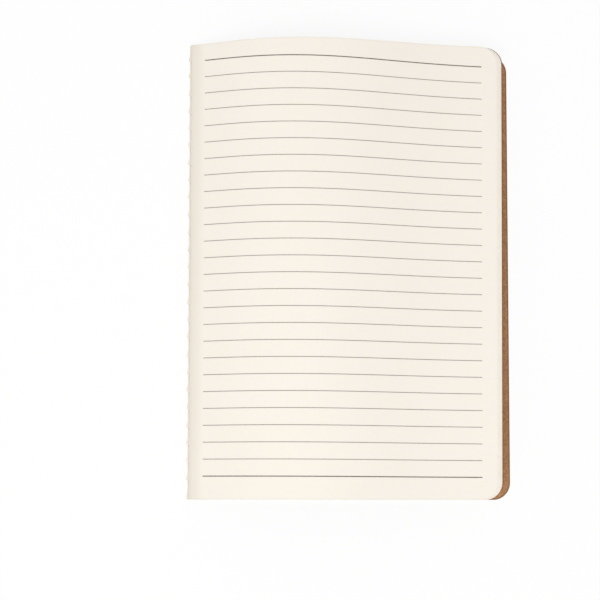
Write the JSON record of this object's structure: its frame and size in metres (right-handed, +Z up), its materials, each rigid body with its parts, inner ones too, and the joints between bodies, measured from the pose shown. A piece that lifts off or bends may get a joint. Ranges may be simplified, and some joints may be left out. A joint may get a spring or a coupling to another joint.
{
  "type": "lined notebook",
  "caption": "Sewn A5 notebook with a plain kraft card cover and ruled cream leaves, opened at its centre spread and folded back on itself.",
  "frame": {"origin": "middle of the notebook's footprint, on the surface that it lies on", "axes": "+X from the fold to the fore-edge, +Y up the page to its head, +Z up from the surface"},
  "size_m": [0.1516, 0.21, 0.0303],
  "materials": {
    "cover_card": "uncoated brown kraft card with fine dark and light fibres",
    "ruled_paper": "uncoated cream paper ruled with thin grey lines",
    "sewing_thread": "matt cream cotton sewing thread"
  },
  "bodies": {
    "back_half": {"back_cover": "cover_card"},
    "front_half": {"front_cover": "cover_card"},
    "fold_line": {"cover_fold": "cover_card", "sheet_fold_01": "ruled_paper", "sheet_fold_02": "ruled_paper", "sheet_fold_03": "ruled_paper", "sheet_fold_04": "ruled_paper", "sheet_fold_05": "ruled_paper", "sheet_fold_06": "ruled_paper", "sheet_fold_07": "ruled_paper", "sheet_fold_08": "ruled_paper", "sheet_fold_09": "ruled_paper", "sheet_fold_10": "ruled_paper", "sheet_fold_11": "ruled_paper", "sheet_fold_12": "ruled_paper", "sheet_fold_13": "ruled_paper", "sheet_fold_14": "ruled_paper", "sheet_fold_15": "ruled_paper", "sheet_fold_16": "ruled_paper", "needle_thread": "sewing_thread", "bobbin_thread": "sewing_thread"},
    "right_leaf_16_body": {"right_leaf_16": "ruled_paper"},
    "right_leaf_15_body": {"right_leaf_15": "ruled_paper"},
    "right_leaf_14_body": {"right_leaf_14": "ruled_paper"},
    "right_leaf_13_body": {"right_leaf_13": "ruled_paper"},
    "right_leaf_12_body": {"right_leaf_12": "ruled_paper"},
    "right_leaf_11_body": {"right_leaf_11": "ruled_paper"},
    "right_leaf_10_body": {"right_leaf_10": "ruled_paper"},
    "right_leaf_09_body": {"right_leaf_09": "ruled_paper"},
    "right_leaf_08_body": {"right_leaf_08": "ruled_paper"},
    "right_leaf_07_body": {"right_leaf_07": "ruled_paper"},
    "right_leaf_06_body": {"right_leaf_06": "ruled_paper"},
    "right_leaf_05_body": {"right_leaf_05": "ruled_paper"},
    "right_leaf_04_body": {"right_leaf_04": "ruled_paper"},
    "right_leaf_03_body": {"right_leaf_03": "ruled_paper"},
    "right_leaf_02_body": {"right_leaf_02": "ruled_paper"},
    "right_leaf_01_body": {"right_leaf_01": "ruled_paper"},
    "left_leaf_16_body": {"left_leaf_16": "ruled_paper"},
    "left_leaf_15_body": {"left_leaf_15": "ruled_paper"},
    "left_leaf_14_body": {"left_leaf_14": "ruled_paper"},
    "left_leaf_13_body": {"left_leaf_13": "ruled_paper"},
    "left_leaf_12_body": {"left_leaf_12": "ruled_paper"},
    "left_leaf_11_body": {"left_leaf_11": "ruled_paper"},
    "left_leaf_10_body": {"left_leaf_10": "ruled_paper"},
    "left_leaf_09_body": {"left_leaf_09": "ruled_paper"},
    "left_leaf_08_body": {"left_leaf_08": "ruled_paper"},
    "left_leaf_07_body": {"left_leaf_07": "ruled_paper"},
    "left_leaf_06_body": {"left_leaf_06": "ruled_paper"},
    "left_leaf_05_body": {"left_leaf_05": "ruled_paper"},
    "left_leaf_04_body": {"left_leaf_04": "ruled_paper"},
    "left_leaf_03_body": {"left_leaf_03": "ruled_paper"},
    "left_leaf_02_body": {"left_leaf_02": "ruled_paper"},
    "left_leaf_01_body": {"left_leaf_01": "ruled_paper"}
  },
  "joints": [
    {"name": "cover_opening", "type": "hinge", "parent": "back_half", "child": "front_half", "pos_m": [-0.07163, 0, 0.00294], "axis": [0, 1, 0], "range_deg": [0, 180], "deforming": ["cover_fold", "sheet_fold_01", "sheet_fold_02", "sheet_fold_03", "sheet_fold_04", "sheet_fold_05", "sheet_fold_06", "sheet_fold_07", "sheet_fold_08", "sheet_fold_09", "sheet_fold_10", "sheet_fold_11", "sheet_fold_12", "sheet_fold_13", "sheet_fold_14", "sheet_fold_15", "sheet_fold_16"]},
    {"name": "seam_turn", "type": "hinge", "parent": "back_half", "child": "fold_line", "pos_m": [-0.07163, 0, 0.00294], "axis": [0, 1, 0], "range_deg": [0, 90]},
    {"name": "right_leaf_16_turn", "type": "hinge", "parent": "back_half", "child": "right_leaf_16_body", "pos_m": [-0.07115, 0, 0.00405], "axis": [0, -1, 0], "range_deg": [0, 2]},
    {"name": "right_leaf_15_turn", "type": "hinge", "parent": "right_leaf_16_body", "child": "right_leaf_15_body", "pos_m": [-0.07102, 0, 0.00429], "axis": [0, -1, 0], "range_deg": [0, 2]},
    {"name": "right_leaf_14_turn", "type": "hinge", "parent": "right_leaf_15_body", "child": "right_leaf_14_body", "pos_m": [-0.07088, 0, 0.00453], "axis": [0, -1, 0], "range_deg": [0, 2]},
    {"name": "right_leaf_13_turn", "type": "hinge", "parent": "right_leaf_14_body", "child": "right_leaf_13_body", "pos_m": [-0.07075, 0, 0.00477], "axis": [0, -1, 0], "range_deg": [0, 2]},
    {"name": "right_leaf_12_turn", "type": "hinge", "parent": "right_leaf_13_body", "child": "right_leaf_12_body", "pos_m": [-0.07062, 0, 0.005], "axis": [0, -1, 0], "range_deg": [0, 2]},
    {"name": "right_leaf_11_turn", "type": "hinge", "parent": "right_leaf_12_body", "child": "right_leaf_11_body", "pos_m": [-0.07049, 0, 0.00524], "axis": [0, -1, 0], "range_deg": [0, 2]},
    {"name": "right_leaf_10_turn", "type": "hinge", "parent": "right_leaf_11_body", "child": "right_leaf_10_body", "pos_m": [-0.07036, 0, 0.00547], "axis": [0, -1, 0], "range_deg": [0, 2]},
    {"name": "right_leaf_09_turn", "type": "hinge", "parent": "right_leaf_10_body", "child": "right_leaf_09_body", "pos_m": [-0.07024, 0, 0.00571], "axis": [0, -1, 0], "range_deg": [0, 2]},
    {"name": "right_leaf_08_turn", "type": "hinge", "parent": "right_leaf_09_body", "child": "right_leaf_08_body", "pos_m": [-0.07011, 0, 0.00594], "axis": [0, -1, 0], "range_deg": [0, 2]},
    {"name": "right_leaf_07_turn", "type": "hinge", "parent": "right_leaf_08_body", "child": "right_leaf_07_body", "pos_m": [-0.06998, 0, 0.00618], "axis": [0, -1, 0], "range_deg": [0, 2]},
    {"name": "right_leaf_06_turn", "type": "hinge", "parent": "right_leaf_07_body", "child": "right_leaf_06_body", "pos_m": [-0.06986, 0, 0.00641], "axis": [0, -1, 0], "range_deg": [0, 2]},
    {"name": "right_leaf_05_turn", "type": "hinge", "parent": "right_leaf_06_body", "child": "right_leaf_05_body", "pos_m": [-0.06973, 0, 0.00665], "axis": [0, -1, 0], "range_deg": [0, 2]},
    {"name": "right_leaf_04_turn", "type": "hinge", "parent": "right_leaf_05_body", "child": "right_leaf_04_body", "pos_m": [-0.06961, 0, 0.00688], "axis": [0, -1, 0], "range_deg": [0, 2]},
    {"name": "right_leaf_03_turn", "type": "hinge", "parent": "right_leaf_04_body", "child": "right_leaf_03_body", "pos_m": [-0.06948, 0, 0.00711], "axis": [0, -1, 0], "range_deg": [0, 2]},
    {"name": "right_leaf_02_turn", "type": "hinge", "parent": "right_leaf_03_body", "child": "right_leaf_02_body", "pos_m": [-0.06936, 0, 0.00735], "axis": [0, -1, 0], "range_deg": [0, 2]},
    {"name": "right_leaf_01_turn", "type": "hinge", "parent": "right_leaf_02_body", "child": "right_leaf_01_body", "pos_m": [-0.06923, 0, 0.00758], "axis": [0, -1, 0], "range_deg": [0, 90]},
    {"name": "left_leaf_16_turn", "type": "hinge", "parent": "front_half", "child": "left_leaf_16_body", "pos_m": [-0.071, 0, 0.00221], "axis": [0, 1, 0], "range_deg": [0, 1]},
    {"name": "left_leaf_15_turn", "type": "hinge", "parent": "left_leaf_16_body", "child": "left_leaf_15_body", "pos_m": [-0.0709, 0, 0.00207], "axis": [0, 1, 0], "range_deg": [0, 1]},
    {"name": "left_leaf_14_turn", "type": "hinge", "parent": "left_leaf_15_body", "child": "left_leaf_14_body", "pos_m": [-0.07079, 0, 0.00193], "axis": [0, 1, 0], "range_deg": [0, 1]},
    {"name": "left_leaf_13_turn", "type": "hinge", "parent": "left_leaf_14_body", "child": "left_leaf_13_body", "pos_m": [-0.07069, 0, 0.00179], "axis": [0, 1, 0], "range_deg": [0, 1]},
    {"name": "left_leaf_12_turn", "type": "hinge", "parent": "left_leaf_13_body", "child": "left_leaf_12_body", "pos_m": [-0.07058, 0, 0.00165], "axis": [0, 1, 0], "range_deg": [0, 1]},
    {"name": "left_leaf_11_turn", "type": "hinge", "parent": "left_leaf_12_body", "child": "left_leaf_11_body", "pos_m": [-0.07048, 0, 0.00151], "axis": [0, 1, 0], "range_deg": [0, 1]},
    {"name": "left_leaf_10_turn", "type": "hinge", "parent": "left_leaf_11_body", "child": "left_leaf_10_body", "pos_m": [-0.07037, 0, 0.00137], "axis": [0, 1, 0], "range_deg": [0, 1]},
    {"name": "left_leaf_09_turn", "type": "hinge", "parent": "left_leaf_10_body", "child": "left_leaf_09_body", "pos_m": [-0.07027, 0, 0.00123], "axis": [0, 1, 0], "range_deg": [0, 1]},
    {"name": "left_leaf_08_turn", "type": "hinge", "parent": "left_leaf_09_body", "child": "left_leaf_08_body", "pos_m": [-0.07016, 0, 0.00109], "axis": [0, 1, 0], "range_deg": [0, 1]},
    {"name": "left_leaf_07_turn", "type": "hinge", "parent": "left_leaf_08_body", "child": "left_leaf_07_body", "pos_m": [-0.07006, 0, 0.00095], "axis": [0, 1, 0], "range_deg": [0, 1]},
    {"name": "left_leaf_06_turn", "type": "hinge", "parent": "left_leaf_07_body", "child": "left_leaf_06_body", "pos_m": [-0.06995, 0, 0.00081], "axis": [0, 1, 0], "range_deg": [0, 1]},
    {"name": "left_leaf_05_turn", "type": "hinge", "parent": "left_leaf_06_body", "child": "left_leaf_05_body", "pos_m": [-0.06985, 0, 0.00067], "axis": [0, 1, 0], "range_deg": [0, 1]},
    {"name": "left_leaf_04_turn", "type": "hinge", "parent": "left_leaf_05_body", "child": "left_leaf_04_body", "pos_m": [-0.06974, 0, 0.00053], "axis": [0, 1, 0], "range_deg": [0, 1]},
    {"name": "left_leaf_03_turn", "type": "hinge", "parent": "left_leaf_04_body", "child": "left_leaf_03_body", "pos_m": [-0.06964, 0, 0.00039], "axis": [0, 1, 0], "range_deg": [0, 1]},
    {"name": "left_leaf_02_turn", "type": "hinge", "parent": "left_leaf_03_body", "child": "left_leaf_02_body", "pos_m": [-0.06953, 0, 0.00025], "axis": [0, 1, 0], "range_deg": [0, 1]},
    {"name": "left_leaf_01_turn", "type": "hinge", "parent": "left_leaf_02_body", "child": "left_leaf_01_body", "pos_m": [-0.06943, 0, 0.00011], "axis": [0, 1, 0], "range_deg": [0, 1]}
  ],
  "couplings": [
    {"joint": "seam_turn", "follows": "cover_opening", "ratio": 0.5},
    {"joint": "right_leaf_15_turn", "follows": "right_leaf_16_turn", "ratio": 1},
    {"joint": "right_leaf_14_turn", "follows": "right_leaf_16_turn", "ratio": 1},
    {"joint": "right_leaf_13_turn", "follows": "right_leaf_16_turn", "ratio": 1},
    {"joint": "right_leaf_12_turn", "follows": "right_leaf_16_turn", "ratio": 1},
    {"joint": "right_leaf_11_turn", "follows": "right_leaf_16_turn", "ratio": 1},
    {"joint": "right_leaf_10_turn", "follows": "right_leaf_16_turn", "ratio": 1},
    {"joint": "right_leaf_09_turn", "follows": "right_leaf_16_turn", "ratio": 1},
    {"joint": "right_leaf_08_turn", "follows": "right_leaf_16_turn", "ratio": 1},
    {"joint": "right_leaf_07_turn", "follows": "right_leaf_16_turn", "ratio": 1},
    {"joint": "right_leaf_06_turn", "follows": "right_leaf_16_turn", "ratio": 1},
    {"joint": "right_leaf_05_turn", "follows": "right_leaf_16_turn", "ratio": 1},
    {"joint": "right_leaf_04_turn", "follows": "right_leaf_16_turn", "ratio": 1},
    {"joint": "right_leaf_03_turn", "follows": "right_leaf_16_turn", "ratio": 1},
    {"joint": "right_leaf_02_turn", "follows": "right_leaf_16_turn", "ratio": 1},
    {"joint": "left_leaf_15_turn", "follows": "left_leaf_16_turn", "ratio": 1},
    {"joint": "left_leaf_14_turn", "follows": "left_leaf_16_turn", "ratio": 1},
    {"joint": "left_leaf_13_turn", "follows": "left_leaf_16_turn", "ratio": 1},
    {"joint": "left_leaf_12_turn", "follows": "left_leaf_16_turn", "ratio": 1},
    {"joint": "left_leaf_11_turn", "follows": "left_leaf_16_turn", "ratio": 1},
    {"joint": "left_leaf_10_turn", "follows": "left_leaf_16_turn", "ratio": 1},
    {"joint": "left_leaf_09_turn", "follows": "left_leaf_16_turn", "ratio": 1},
    {"joint": "left_leaf_08_turn", "follows": "left_leaf_16_turn", "ratio": 1},
    {"joint": "left_leaf_07_turn", "follows": "left_leaf_16_turn", "ratio": 1},
    {"joint": "left_leaf_06_turn", "follows": "left_leaf_16_turn", "ratio": 1},
    {"joint": "left_leaf_05_turn", "follows": "left_leaf_16_turn", "ratio": 1},
    {"joint": "left_leaf_04_turn", "follows": "left_leaf_16_turn", "ratio": 1},
    {"joint": "left_leaf_03_turn", "follows": "left_leaf_16_turn", "ratio": 1},
    {"joint": "left_leaf_02_turn", "follows": "left_leaf_16_turn", "ratio": 1},
    {"joint": "left_leaf_01_turn", "follows": "left_leaf_16_turn", "ratio": 1}
  ]
}
